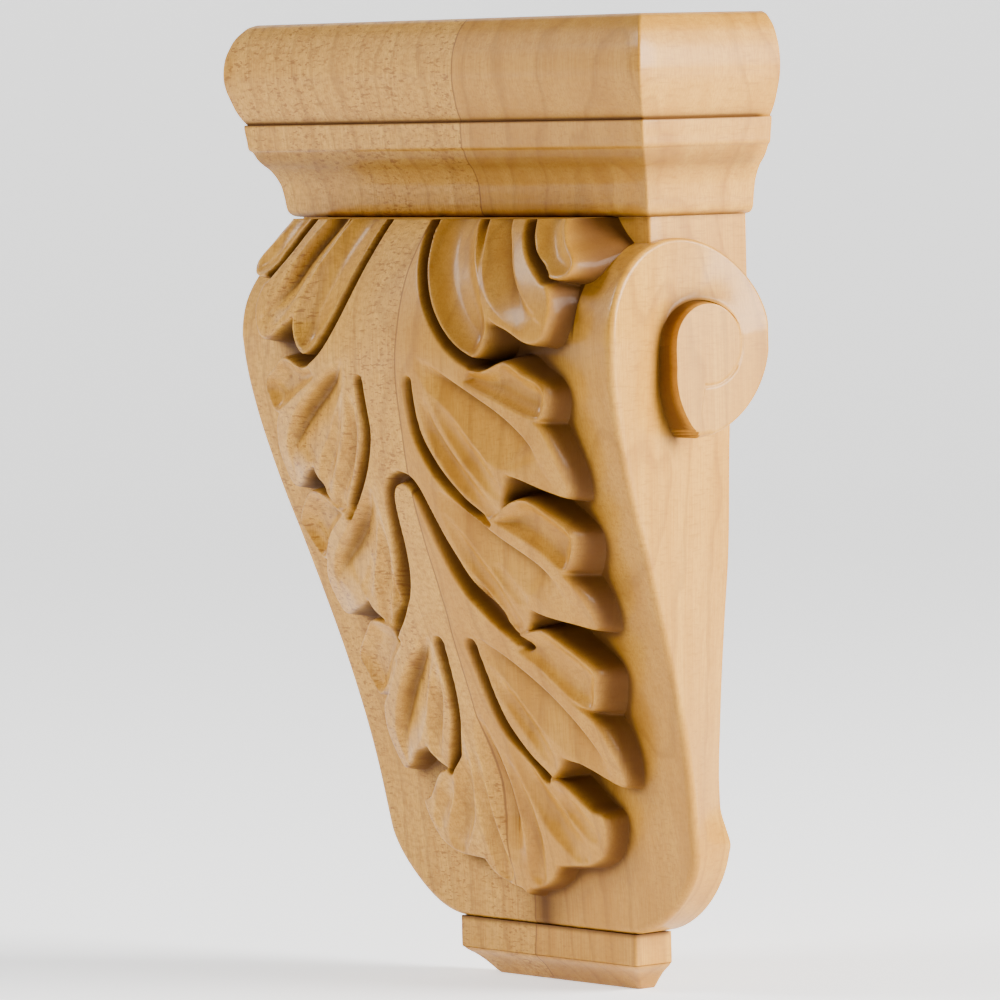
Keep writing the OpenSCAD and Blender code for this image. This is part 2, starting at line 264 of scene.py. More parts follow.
# the right half's lobes: hollow is a dish inside the outline, its depth, rim and width;
# drop lowers the tip, its x, z, reach and fall
lobes = {
    "midrib": {
        "outline": [
            (-8, 90), (8.4, 90), (8.6, 76), (10.0, 68), (12.8, 60.5), (17.0, 52.8), (21.8, 46.6),
            (27, 42), (33, 38.8), (30, 34), (20, 33), (14, 30), (13, 18), (20, 5), (24, -1),
            (22, -8), (16, -14), (20, -24), (26, -31), (24, -36), (14, -42), (12, -56), (14, -70),
            (10, -84), (-8, -84),
        ],
    },
    "fanInner": {
        "outline": [
            (10.2, 92), (10.4, 76), (12.2, 68), (15.0, 61), (18.8, 54), (23.4, 47.9), (28.3, 43.2),
            (33.8, 40.2), (38.2, 42.4), (40.4, 48.1), (38.6, 54), (34.6, 61), (31.4, 66.5),
            (28.6, 72), (26.8, 77), (26.8, 92),
        ],
        "hollow": (4.4, 0.9, 6.0),
    },
    "fanMiddle": {
        "outline": [
            (27, 92), (28, 78), (31.5, 68), (36, 59), (40.2, 50.6), (46.7, 47.3), (53, 44.2),
            (57.4, 44.7), (60, 48.6), (60.4, 54.1), (57.8, 59.2), (52.4, 63.2), (47.6, 68),
            (44.4, 73), (43, 78), (43, 92),
        ],
    },
    "fanOuter": {
        "outline": [
            (45, 92), (45.4, 78), (48, 71.5), (51.4, 66), (54.6, 62.2), (59.6, 60.4), (64, 61),
            (65.3, 63.8), (63.7, 66.6), (59.8, 70.6), (56, 78), (56, 92),
        ],
        "hollow": (2.4, 0.9, 5.0),
    },
    "shortOne": {
        "outline": [
            (20.5, 43.0), (27, 39.4), (36.9, 37.3), (45.4, 39.6), (51.6, 36.4), (56, 34.2),
            (57.6, 31.6), (56.7, 27.8), (53.9, 24.6), (47.4, 26.4), (40.9, 29.3), (30.6, 33.8),
            (23.4, 39.0),
        ],
        "hollow": (3.4, 0.5, 4.4),
    },
    "longOne": {
        "outline": [
            (12, 47), (22.4, 40.6), (30.6, 34.6), (40.9, 29.9), (51.4, 25.0), (54.8, 22),
            (57.0, 15), (57.6, 8), (56.0, 4.6), (50.5, 6.0), (44.1, 9.0), (38.9, 10.7), (30, 14),
            (20, 26), (11, 38),
        ],
        "drop": (55, 3, 15, 2.4),
    },
    "innerOne": {
        "outline": [
            (11.4, 37), (11.4, 28), (12.4, 20), (16.2, 12.2), (21.6, 5.4), (26.4, 0.8),
            (30.6, -1.5), (34.9, 1.6), (37.2, 6), (39.2, 11), (32, 22), (22, 34), (15, 40),
        ],
        "drop": (31, -3, 10, 1.2),
    },
    "shortTwo": {
        "outline": [
            (20, 2.4), (26, 0.0), (31.7, -0.7), (37.9, 3.1), (44.2, 4.1), (50.5, 0.4), (55, -3.5),
            (55.6, -6.2), (53.4, -10.9), (48.8, -14.6), (41.3, -8.2), (30.7, -2.4),
        ],
        "hollow": (3.4, 0.5, 4.4),
    },
    "longTwo": {
        "outline": [
            (12, 7), (22.4, 0.6), (30.7, -1.6), (41.3, -7.6), (48, -14.4), (51.9, -20.5),
            (52.8, -26.7), (51.2, -29.9), (44.3, -28.4), (36.6, -26.4), (33.3, -24.9), (24, -20),
            (14, -2),
        ],
        "drop": (51, -31, 14, 2.0),
    },
    "innerTwo": {
        "outline": [
            (9.2, 5), (12.0, -5), (15.6, -14.5), (20.2, -21.8), (24.2, -28.0), (25.4, -32.4),
            (29.3, -30.6), (33.4, -25.3), (30, -16), (22, -6), (14, 5),
        ],
        "drop": (26, -34, 10, 1.2),
    },
    "shortThree": {
        "outline": [
            (19, -32.4), (25.4, -31.9), (34.6, -30.4), (40.2, -33.7), (47, -39.1), (48.6, -41.8),
            (47.5, -45), (45.6, -49.4), (43.2, -51.4), (37.3, -48.7), (29.4, -41.0), (22, -35.6),
        ],
        "hollow": (2.5, 0.5, 4.4),
    },
    "longThree": {
        "outline": [
            (9, -29), (20.7, -34.4), (29.4, -41.4), (37.3, -49.1), (43.4, -54.3), (46.1, -61.6),
            (46.6, -68.5), (45.3, -71.8), (41.6, -70.8), (34.4, -66.4), (26.5, -63.4), (18, -50),
            (9, -36),
        ],
        "drop": (45, -72, 13, 1.6),
    },
    "innerThree": {
        "outline": [
            (8.6, -36), (9.2, -45), (11.2, -55), (15.4, -63.4), (20.8, -69.8), (25.7, -67.6),
            (27.8, -63), (24, -50), (15, -36),
        ],
        "drop": (21, -71, 9, 0.8),
    },
    "skirt": {
        "outline": [
            (7, -52), (13, -65), (21, -70.2), (25.8, -71.8), (33, -78.3), (36.9, -79.9),
            (36.6, -84.6), (33.4, -90.4), (27.2, -93.4), (20, -94.1), (13, -93.9), (8, -88),
        ],
    },
    "tip": {
        "outline": [
            (-6, -50), (9, -55), (12.5, -75), (15.5, -91), (13.4, -96.8), (8.4, -99.8),
            (2.4, -101.3), (-6, -101.4),
        ],
    },
}

# gouge cuts from root to tip: depth along the path, width above and below it, and the section
gouges = [
    # between midrib and fan, then inside the fan
    {
        "path": [
            (9.4, 92), (9.5, 76), (11.1, 68), (13.9, 60.6), (17.9, 53.2), (22.6, 47.2),
            (27.6, 42.6), (33, 39.6), (37, 38.9), (41, 40.5),
        ],
        "depth": (4.5, 5, 5.2, 5.2, 6, 8),
        "above": (1.3, 1.3, 1.2, 1.3),
        "below": (1.3, 1.3, 1.3, 1.2),
        "cut": "groove",
    },
    {
        "path": [(34.6, 92), (35.6, 76), (40.3, 67.6), (45.6, 59), (51, 53.4), (54.6, 51.2)],
        "depth": (5.6, 5.8, 5.4, 4.2, 0.6),
        "above": (2.0, 2.2, 2.4, 2.2, 1.5),
        "below": (8, 8, 8, 7, 5),
        "cut": "vee",
    },
    {
        "path": [(44, 92), (44.2, 78), (46.2, 72.6), (49.4, 67.6), (53.4, 63.6), (57, 60.6)],
        "depth": (7, 7, 5, 4, 6),
        "above": (1.3, 1.2, 1.1),
        "below": (1.2, 1.1, 1.1),
        "cut": "groove",
    },
    # first pair of sprigs
    {
        "path": [
            (17.4, 38.6), (21.2, 36.1), (30.2, 30.8), (40.2, 24.8), (47.4, 18.4), (51.2, 12.2),
        ],
        "depth": (0.4, 4.0, 4.8, 4.6, 3.4, 0.3),
        "above": (1.0, 1.7, 1.9, 1.7),
        "below": (4, 9, 13, 12, 7),
        "cut": "vee",
    },
    {
        "path": [
            (10.1, 34.0), (9.9, 28), (10.6, 20), (14.6, 11.8), (20.2, 5.0), (25.4, 0.4),
            (28.6, -2.4),
        ],
        "depth": (3.6, 4.6, 4.8, 4.4, 3.6, 2.6),
        "above": (1.4, 1.6, 1.7, 1.5, 1.0),
        "below": (1.4, 1.6, 1.6, 1.4, 0.9),
        "cut": "groove",
    },
    {
        "path": [(15.0, 29), (16.6, 21.4), (21.2, 13), (27.0, 6), (30.4, 1.4)],
        "depth": (0.3, 2.2, 2.6, 2.0, 0.6),
        "above": (1.4, 2.6, 3.0, 2.4),
        "below": (1.4, 2.6, 3.0, 2.4),
        "cut": "scoop",
    },
    {
        "path": [(19.6, 31), (24.6, 21), (30.6, 12.4), (35.0, 6)],
        "depth": (0.2, 1.5, 1.8, 0.8),
        "above": (2, 3, 3.4, 3),
        "below": (2, 2.8, 3, 2.4),
        "cut": "scoop",
    },
    # second pair of sprigs
    {
        "path": [
            (0, 9.0), (3.6, 7.8), (6.0, 4.4), (7.4, -1), (9.2, -9), (12.6, -18), (18.4, -25.6),
            (23.4, -31), (27, -35),
        ],
        "depth": (4.0, 4.6, 6, 6.4, 6, 5, 3.2),
        "above": (1.4, 1.5, 2.2, 2.8, 2.8, 2.2, 1.2),
        "below": (1.4, 1.6, 2.0, 2.5, 2.8, 2.2, 1.0),
        "cut": "groove",
    },
    {
        "path": [
            (14.2, 5.6), (16.4, 3.8), (22.4, -1.2), (30.4, -7.5), (40.4, -14.2), (45.4, -19.6),
        ],
        "depth": (0.3, 3.6, 4.6, 4.4, 3.4, 0.4),
        "above": (0.9, 1.6, 1.8, 1.6),
        "below": (4, 8, 11, 10, 6),
        "cut": "vee",
    },
    {
        "path": [(14.2, 0), (17.6, -11), (22.6, -20.4), (26.4, -28.2)],
        "depth": (0.3, 2.2, 2.5, 0.9),
        "above": (2.0, 3.4, 3.8, 3),
        "below": (1.6, 2.8, 3.2, 2.2),
        "cut": "scoop",
    },
    {
        "path": [(21, -6), (26.2, -13.4), (31.4, -21.6)],
        "depth": (0.2, 1.7, 0.7),
        "above": (2, 3.4, 3),
        "below": (2, 3, 2.4),
        "cut": "scoop",
    },
    # third pair of sprigs
    {
        "path": [(6.6, -35.6), (7.2, -42), (8.2, -50), (10.4, -57.4), (14.8, -64.4), (20.0, -70.4)],
        "depth": (5.4, 5.8, 5.2, 5, 5, 4),
        "above": (1.9, 1.8, 1.6, 1.4, 1.0),
        "below": (1.8, 1.8, 1.6, 1.5, 1.2),
        "cut": "groove",
    },
    {
        "path": [
            (11.2, -34), (14, -36.2), (20.6, -41), (29.0, -48.2), (35.8, -56.2), (40.0, -63),
            (41.2, -69),
        ],
        "depth": (0.3, 3.2, 4.2, 4.3, 3.8, 2.2, 0.3),
        "above": (0.9, 1.5, 1.7, 1.6),
        "below": (4, 7, 10, 9, 5),
        "cut": "vee",
    },
    {
        "path": [(12, -42), (15.4, -50), (20, -58), (23.4, -65)],
        "depth": (0.3, 2.0, 2.2, 0.8),
        "above": (2, 3.2, 3.4, 2.6),
        "below": (1.8, 2.8, 3.0, 2.2),
        "cut": "scoop",
    },
    # skirt and tip
    {
        "path": [(11.4, -62), (14.2, -72), (18.8, -82), (24.2, -89.5)],
        "depth": (0.3, 2.4, 3.0, 1.2),
        "above": (2.4, 4, 5.4, 4.6),
        "below": (2.4, 3.6, 4.4, 3.6),
        "cut": "scoop",
    },
    {
        "path": [(20, -73), (26, -78.6), (31.4, -84.6)],
        "depth": (0.3, 1.6, 0.8),
        "above": (2.2, 3, 2.6),
        "below": (2, 3, 2.6),
        "cut": "scoop",
    },
    {
        "path": [(0, -55), (0, -62), (0, -72), (0, -82), (0, -91)],
        "depth": (0.2, 3.2, 4.6, 4.6, 1.2),
        "above": (2, 4.4, 5.6, 5.6, 4),
        "below": (2, 4.4, 5.6, 5.6, 4),
        "cut": "vee",
    },
    {
        "path": [(6.2, -66), (8.4, -76), (8.4, -87), (6.4, -97)],
        "depth": (0.2, 1.8, 2.4, 1.4),
        "above": (1.6, 2.6, 3.6, 3.6),
        "below": (1.6, 2.6, 3.0, 3.0),
        "cut": "scoop",
    },
]

sections = {
    "vee": lambda u: 1 - u,
    "scoop": lambda u: 1 - u * u,
    "groove": lambda u: 1 - u**4,
}


def carveLeaf():
    # depth of the carving over the right half of the front, on a square grid
    cell = leaf["cell"]
    xs = np.arange(0, leaf["reach"] + cell / 2, cell)
    zs = np.linspace(leaf["low"], leaf["high"], int((leaf["high"] - leaf["low"]) / cell))
    x, z = np.meshgrid(xs, zs)
    crown = np.interp(z, *np.array(leaf["crown"]).T)
    dome = curveAt(leaf["middle"], z) - crown * x * x
    ground = consoleFront(x, z)
    neckFrom, neckDepth = leaf["neckGround"]
    ground = np.where(z > neckFrom, np.maximum(ground, neckDepth), ground)
    carved = np.full(x.shape, -1e3)
    for lobe in lobes.values():
        outline = smoothPath(lobe["outline"], closed=True)
        lo, hi = outline.min(axis=0) - 4, outline.max(axis=0) + 4
        box = (x > lo[0]) & (x < hi[0]) & (z > lo[1]) & (z < hi[1])
        bx, bz = x[box], z[box]
        inside = insideDistance(outline, bx, bz)
        height = dome[box] - leaf["wallSlope"] * np.maximum(-inside, 0)
        if "hollow" in lobe:
            depth, rim, width = lobe["hollow"]
            t = np.clip((inside - rim) / width, 0, 1)
            height -= depth * (1 - (1 - t) ** 2)
        if "drop" in lobe:
            tx, tz, radius, fall = lobe["drop"]
            height -= fall * ease(1 - np.hypot(bx - tx, bz - tz) / radius)
        carved[box] = np.maximum(carved[box], height)
    cut = np.zeros(x.shape)
    for gouge in gouges:
        path = smoothPath(gouge["path"])
        margin = max(gouge["above"] + gouge["below"]) + 1
        lo, hi = path.min(axis=0) - margin, path.max(axis=0) + margin
        box = (x > lo[0]) & (x < hi[0]) & (z > lo[1]) & (z < hi[1])
        away, share, above = alongPath(path, x[box], z[box])
        width = np.where(above, spread(gouge["above"], share), spread(gouge["below"], share))
        depth = spread(gouge["depth"], share) * sections[gouge["cut"]](np.clip(away / width, 0, 1))
        cut[box] = np.maximum(cut[box], depth)
    carved = np.maximum(carved - cut, ground - leaf["root"])
    carved = blur(carved, leaf["soften"] / cell)
    return xs, zs, carved, ground


xGrid, zGrid, carved, ground = carveLeaf()
surface = np.maximum(carved, ground)
cells = 1 / leaf["cell"]
(nearWidth, nearDepth), (farWidth, farDepth) = leaf["stainNear"], leaf["stainFar"]
wallShadeAmount, wallStart, wallRange = leaf["stainWall"]
# darkening of the carved front: finish pooled in its hollows and painted shade there; steep walls get
# extra painted shade
finishAndShadeField = np.clip((blur(surface, nearWidth * cells) - surface) / nearDepth, 0, 1) ** 0.8
farField = np.clip((blur(surface, farWidth * cells) - surface) / farDepth, 0, 0.8)
finishAndShadeField = np.maximum(finishAndShadeField, farField)
steepness = np.hypot(*np.gradient(surface, leaf["cell"]))
paintedWallShade = wallShadeAmount * np.clip((steepness - wallStart) / wallRange, 0, 1)
finishAndShadeField = blur(np.clip(finishAndShadeField + paintedWallShade, 0, 1), leaf["stainSoften"] * cells)
print("leaf carved on", carved.shape)


def finishAndShadeAt(x, z):
    # darkening of the front surface at any place, from the leaf's grid: pooled finish and painted
    # shade
    i = np.clip((np.asarray(z) - zGrid[0]) / (zGrid[1] - zGrid[0]), 0, len(zGrid) - 1.001)
    j = np.clip(np.abs(x) / leaf["cell"], 0, len(xGrid) - 1.001)
    i0, j0 = i.astype(int), j.astype(int)
    u, v = i - i0, j - j0
    f = finishAndShadeField
    lower = (1 - v) * f[i0, j0] + v * f[i0, j0 + 1]
    upper = (1 - v) * f[i0 + 1, j0] + v * f[i0 + 1, j0 + 1]
    away = ease((np.abs(x) - leaf["reach"] + 5) / 5)  # fades out over the last 5 mm
    return ((1 - u) * lower + u * upper) * (1 - away)


def makeLeaf(name, side):
    # one half of the leaf: its carved front, standing on a flat bed inside the console
    bed = leaf["bed"]
    shown = (carved > ground - leaf["root"] + 0.04) & (xGrid[None, :] < sideWidth(zGrid)[:, None] - 6)
    lastCell = np.array([np.flatnonzero(row).max(initial=4) + 2 for row in shown])
    lastCell = np.minimum(np.maximum(lastCell[:-1], lastCell[1:]), len(xGrid) - 1)
    rows, columns = carved.shape
    x, z = np.meshgrid(xGrid * side, zGrid)
    index = np.full((2, rows, columns), -1)
    faces = []
    for i, last in enumerate(lastCell):
        for j in range(last):
            faces.append(((0, i, j), (0, i, j + 1), (0, i + 1, j + 1), (0, i + 1, j)))
        below = lastCell[i - 1] if i else 0
        above = lastCell[i + 1] if i + 1 < len(lastCell) else 0
        bottom = sorted({0, *range(min(last, below), last + 1)})
        top = sorted({0, *range(min(last, above), last + 1)})
        faces.append(tuple([(1, i + 1, j) for j in top] + [(1, i, j) for j in bottom[::-1]]))
        faces.append(((0, i, last), (1, i, last), (1, i + 1, last), (0, i + 1, last)))
        faces.append(((0, i + 1, 0), (1, i + 1, 0), (1, i, 0), (0, i, 0)))
        for j in range(below, last):
            faces.append(((0, i, j + 1), (0, i, j), (1, i, j), (1, i, j + 1)))
        for j in range(above, last):
            faces.append(((0, i + 1, j), (0, i + 1, j + 1), (1, i + 1, j + 1), (1, i + 1, j)))
    used = sorted({corner for face in faces for corner in face})
    where = {corner: n for n, corner in enumerate(used)}
    layer, i, j = np.array(used).T
    points = np.stack([x[i, j], np.where(layer == 0, -carved[i, j], -bed), z[i, j]], axis=1)
    # pooled finish and painted shade on the carved face, none on the bed
    finishAndShadeValue = np.where(layer == 0, finishAndShadeField[i, j], 0)
    step = 1 if side > 0 else -1
    makePiece(name, points, [[where[c] for c in face][::step] for face in faces], finishAndShadeValue, 65)


makeLeaf("leafRight", 1)
makeLeaf("leafLeft", -1)


splitZ = 43.0  # the scrolls take over the sides above this height
innerX = 62.0


scroll = {
    "eye": (-19.5, 43.0),  # y, z
    "eyeRadius": 10.7,
    "face": (79.7, 0.067),  # half-width at the wall, and its fall per millimetre of depth
    "wall": [  # degrees round the eye, distance of the wall from its middle
        (180, 10.7), (196, 11.2), (210, 12.3), (222, 14.3), (235, 17.0), (244, 19.2), (252, 21.4),
        (258, 23.1), (262, 24.3),
    ],
    "lowered": (180.3, 262),  # degrees between which the console's own side shows
    "sunk": 1.2,  # how far the piece lies inside the console there
    "rampEnd": 8.0,
    "rampPower": 1.35,
    "wallFoot": (0.55, 0.95),  # how far inside its radius the wall starts, and its width
    "fillet": (0.7, 0.6),  # height at the wall's foot, and how fast it dies away
    "crease": (0.28, 0.42),  # depth and width of the cut round the eye
    "rimFront": 1.9,
    "rimBack": 1.0,
    "seat": (72.0, 0.4),  # inside this half-width the back stays this far off the wall
    "closeRings": 1.9,  # how far past the wall the rings lie close together
    "shade": (6.5, 1.4, 0.75),  # reach of the painted shadow past the wall, its fall and its amount
    "shadeTurn": ((20, 80), (268, 8)),  # degrees over which it comes and goes
}


def eyeShade(y, z):
    # painted shadow round the foot of the scroll's wall
    ey, ez = scroll["eye"]
    turn = np.degrees(np.arctan2(z - ez, y - ey)) % 360
    wall = np.where(turn > 180, curveAt(scroll["wall"], turn), scroll["eyeRadius"])
    past = np.hypot(y - ey, z - ez) - wall
    reach, power, amount = scroll["shade"]
    (first, firstSpan), (last, lastSpan) = scroll["shadeTurn"]
    fade = ease((turn - first) / firstSpan) * ease((last - turn) / lastSpan)
    return np.clip(1 - past / reach, 0, 1) ** power * amount * fade


def makeConsole():
    edge = np.array([0, 0.05, 0.18, 0.4, 0.7, 1.1, 1.5, 1.9, 2.6])
    low, high = console["underside"], console["drumCentre"][1] + console["drumRadius"] - 0.4
    heights = np.concatenate([
        low + edge, np.arange(low + 3.4, splitZ - 0.5, 1.0), [splitZ - 0.01, splitZ + 0.01],
        np.arange(splitZ + 1, high, 0.8),
    ])
    rings, finishAndShadeRings = [], []
    for z in heights:
        full = z < splitZ
        width = float(sideWidth(z)) if full else innerX
        wall = float(wallWidth(z)) if full else innerX - 0.5
        lean = float(sideWidth(z + 0.05) - sideWidth(z - 0.05)) / 0.1
        slant = min(math.sqrt(1 + lean * lean), 5.0)
        inset = edge * slant if full else edge * 0.2
        across = np.concatenate([np.linspace(0, width - 3.2 * slant, 56), (width - inset)[::-1]])
        level = np.full(across.shape, z)
        depth = consoleFront(across, level) if full else frontDepth(level)
        corner = float(depth[-1])
        share = np.linspace(0 if full else 0.02, 1, 26)[:-1]  # the top stays inside the neck
        ys = -share * corner
        xs = draft(share, z) if full else wall + (width - wall) * share
        right = [(x, y, z) for x, y in zip(xs, ys)]
        right += [(x, -d, z) for x, d in zip(across[::-1], depth[::-1])]
        left = [(-x, y, z) for x, y, _ in right[:-1]][::-1]
        rings.append(right + left)
        # painted shadow by the scroll's wall on the side; on the front, pooled finish and painted
        # shade from the leaf's grid
        sideShadow = eyeShade(ys, z) if full else np.zeros(len(xs))
        tone = np.concatenate([sideShadow, finishAndShadeAt(across[::-1], level)])
        finishAndShadeRings.append(np.concatenate([tone, tone[:-1][::-1]]))
    ringSolid("console", rings, np.array(finishAndShadeRings), 40)


makeConsole()


def makeScroll(name, side):
    # columns run out from the eye's middle over the face, then down the outer wall
    ey, ez = scroll["eye"]
    cy, cz = console["drumCentre"]
    angles = np.concatenate([
        np.arange(-98, 178, 2.5), [178.4, 179.4, 180.0, 180.6, 181.6], np.arange(183, 262, 2.5),
    ])
    faceX, faceFall = scroll["face"]
    lowFrom, lowTo = scroll["lowered"]
    wallFrom, wallSpan = scroll["wallFoot"]
    filletHeight, filletFade = scroll["fillet"]
    creaseDepth, creaseWidth = scroll["crease"]
    seatHalf, seatGap = scroll["seat"]
    close = scroll["closeRings"]
    columns = []
    for a in angles:
        turn = a % 360
        dy, dz = math.cos(math.radians(a)), math.sin(math.radians(a))
        oy, oz = ey - cy, ez - cz
        half = oy * dy + oz * dz
        rimR = -half + math.sqrt(half * half - (oy * oy + oz * oz) + console["drumRadius"] ** 2)
        if dy > 0:
            rimR = min(rimR, -ey / dy)  # the disc is cut off by the wall
        lowered = lowFrom < turn < lowTo
        wallR = float(curveAt(scroll["wall"], turn)) if lowered else scroll["eyeRadius"]
        rampShare = float(ease((180 - turn) / (180 - scroll["rampEnd"]))) ** scroll["rampPower"]
        if turn >= lowTo or turn < scroll["rampEnd"]:
            rampShare = 1.0
        outer = rimR - scroll["sunk"] * min((lowTo - turn) / 14, 1) if lowered else rimR
        atFront = float(ease((turn - 95) / 50)) * (turn < 270)
        rim = scroll["rimBack"] + (scroll["rimFront"] - scroll["rimBack"]) * atFront
        wallR = min(wallR, outer - 0.02)
        beyond = max(outer - wallR - close, 0.01)
        closeEnd = min(close, 0.9 * (outer - wallR))
        if outer - wallR > 4:
            spare = wallR + close + beyond * np.linspace(0.06, 0.9, 12)
        else:
            spare = np.linspace(wallR + closeEnd, outer, 14)[1:-1]
        near = wallR + np.linspace(-0.95, closeEnd, 22)
        r = np.concatenate([np.linspace(0, wallR - 1.1, 9), near, spare])
        rEdge = outer - rim * (1 - np.sin(np.linspace(0, np.pi / 2, 9)))
        limit = rEdge[0] - 0.02 * np.arange(len(r), 0, -1) / len(r)
        r = np.concatenate([np.minimum(r, limit), rEdge])
        y, z = ey + r * dy, ez + r * dz
        proud = faceX + faceFall * y
        base = sideSurface(y, z)
        ramp = base + 0.03 + rampShare * (proud - base - 0.03)
        level = base - scroll["sunk"] if lowered else ramp
        drop = proud - level
        past = r - wallR
        fall = ease((past + wallFrom) / wallSpan)
        x = proud - drop * fall
        if not lowered and rampShare < 0.97:
            fillet = filletHeight * min(1, drop[-1] / 3)
            x = x + fillet * np.exp(-np.maximum(past - 0.4, 0) / filletFade) * (past > 0.3)
        if rampShare > 0.5 and not lowered:
            strength = 1.0 if 255 < turn < 325 else 0.35
            away = (r - scroll["eyeRadius"]) / creaseWidth
            x = x - creaseDepth * strength * np.exp(-away ** 2)
        inset = np.clip(outer - r, 0, rim)
        x = x - (rim - np.sqrt(np.maximum(rim * rim - (rim - inset) ** 2, 0)))
        y = np.minimum(y, 0)
        hidden = outer - 1.5
        down = [(innerX + 0.5, outer), (innerX, outer), (innerX - 0.1, hidden), (innerX - 4, hidden)]
        top = x[-1]
        walls = [(top + (innerX - top) * k, outer) for k in (0.1, 0.3, 0.6)] + down
        column = [(px, py, pz) for px, py, pz in zip(x, y, z)]
        for px, pr in walls:
            column.append((px, min(ey + pr * dy, 0 if px > seatHalf else -seatGap), ez + pr * dz))
        columns.append(column)
    points = [(faceX + faceFall * ey, ey, ez), (innerX - 4, ey, ez)]
    for column in columns:
        points += column[1:]
    size = len(columns[0]) - 1
    faces = []
    for n in range(len(columns)):
        a, b = 2 + n * size, 2 + ((n + 1) % len(columns)) * size
        faces.append((0, a, b))
        faces.append((1, b + size - 1, a + size - 1))
        for k in range(size - 1):
            faces.append((a + k, a + k + 1, b + k + 1, b + k))
    points = np.array(points)
    points[:, 0] *= side
    step = -1 if side > 0 else 1
    sunk = (faceX + faceFall * points[:, 1]) - np.abs(points[:, 0])
    # painted shadow round the foot of the eye's wall, where the face is sunk
    finishAndShadeValue = ease(sunk / 3) * eyeShade(points[:, 1], points[:, 2])
    makePiece(name, points, [face[::step] for face in faces], finishAndShadeValue, 38)


makeScroll("scrollRight", 1)
makeScroll("scrollLeft", -1)


cap = {
    "halfWidth": 71.2,
    "depth": 32.6,
    "roll": [  # out, height, from the top down
        (8, 127), (9.6, 126.3), (11, 124.9), (12.2, 123.3), (13.1, 121.4), (14.2, 118),
        (14.6, 113.7), (14.2, 110), (13.1, 106.3), (12.3, 104), (11.2, 101.8), (10.3, 100.5),
    ],
    "band": [
        (10.25, 100.35), (10.85, 100.1), (10.75, 98.4), (10.4, 96), (10.2, 94.2), (9.9, 93.5),
        (9.3, 92.9), (8.4, 91), (7.4, 89.6), (6.3, 88.4), (5.5, 87.2), (4.8, 85.8), (4.1, 84),
        (3.7, 82), (3.4, 80.2), (3.2, 78.6), (2.9, 77.2), (2.3, 76.3), (1.4, 75.75), (0, 75.5),
    ],
    "corner": 0.7,
    "finishAndShade": [  # height, amount of darkening: pooled finish and painted shade in the crease, the cove and under the cap
        (127, 0), (108, 0), (103, 0.12), (101.2, 0.45), (100.4, 0.95), (99.9, 0.3), (99.2, 0),
        (94.6, 0), (93, 0.3), (90, 0.42), (86, 0.25), (81, 0), (77.4, 0), (76.4, 0.35), (75.5, 0.8),
    ],
}

foot = {
    "halfWidth": 36.0,
    "depth": 12.3,
    "edge": [
        (0, -111.6), (0, -119.2), (-0.35, -119.9), (-1.0, -120.7), (-2.6, -121.9), (-4.0, -123.2),
        (-5.4, -124.8), (-6.6, -126.3), (-7.3, -127),
    ],
    "corner": 0.9,
    # darkening by height: pooled finish and painted shade where the foot meets the console and at its
    # lower edge
    "finishAndShade": [(-127, 0.35), (-122, 0.25), (-120, 0.05), (-114, 0), (-112.4, 0.3), (-111.6, 0.8)],
}


def makeMoulding(name, part, profile):
    # profile carried round the left, front and right sides, lowest ring first
    rings, finishAndShadeRings = [], []
    turns = np.linspace(0, np.pi / 2, 7)
    r = part["corner"]
    for out, z in sorted(profile, key=lambda point: point[1]):
        hw, d = part["halfWidth"] + out, part["depth"] + out
        corner = [(hw - r * (1 - math.cos(t)), -d + r * (1 - math.sin(t))) for t in turns]
        right = [(hw, -y * (d - r)) for y in np.linspace(0, 1, 9)[:-1]] + corner
        right += [(x * (hw - r), -d) for x in np.linspace(1, 0, 17)[1:]]
        ring = right + [(-x, y) for x, y in right[:-1]][::-1]
        rings.append([(x, y, z) for x, y in ring])
        # pooled finish and painted shade, by height
        amount = float(curveAt(part["finishAndShade"], z)) if "finishAndShade" in part else 0.0
        finishAndShadeRings.append([0.0] + [amount] * (len(ring) - 2) + [0.0])  # none on the back
    ringSolid(name, rings, np.array(finishAndShadeRings), 32)


capTop, capLow = smoothPath(cap["roll"]), smoothPath(cap["band"])
makeMoulding("cap", cap, [(7.2, topZ), *capTop[:-1], *capLow])
makeMoulding("foot", foot, smoothPath(foot["edge"]))
makeMoulding("neck", {"halfWidth": cap["halfWidth"], "depth": cap["depth"], "corner": 0.9},
             [(0, 44.0), (0, 52.0), (0, 60.0), (0, 68.0), (0, 75.9)])


class Value:
    # a shader socket that can be used in sums
    def __init__(self, shader, socket):
        self.shader, self.socket = shader, socket

    def sum(self, operation, *others):
        values = dict(enumerate((self, *others)))
        return self.shader.node("ShaderNodeMath", {"operation": operation}, values)["Value"]

    def __add__(self, other):
        return self.sum("ADD", other)

    def __sub__(self, other):
        return self.sum("SUBTRACT", other)

    def __mul__(self, other):
        return self.sum("MULTIPLY", other)

    def __truediv__(self, other):
        return self.sum("DIVIDE", other)

    def __rsub__(self, other):
        return self.shader.number(other) - self

    __radd__ = __add__
    __rmul__ = __mul__


class Outputs:
    def __init__(self, shader, node):
        self.shader, self.raw = shader, node

    def __getitem__(self, name):
        return Value(self.shader, self.raw.outputs[name])


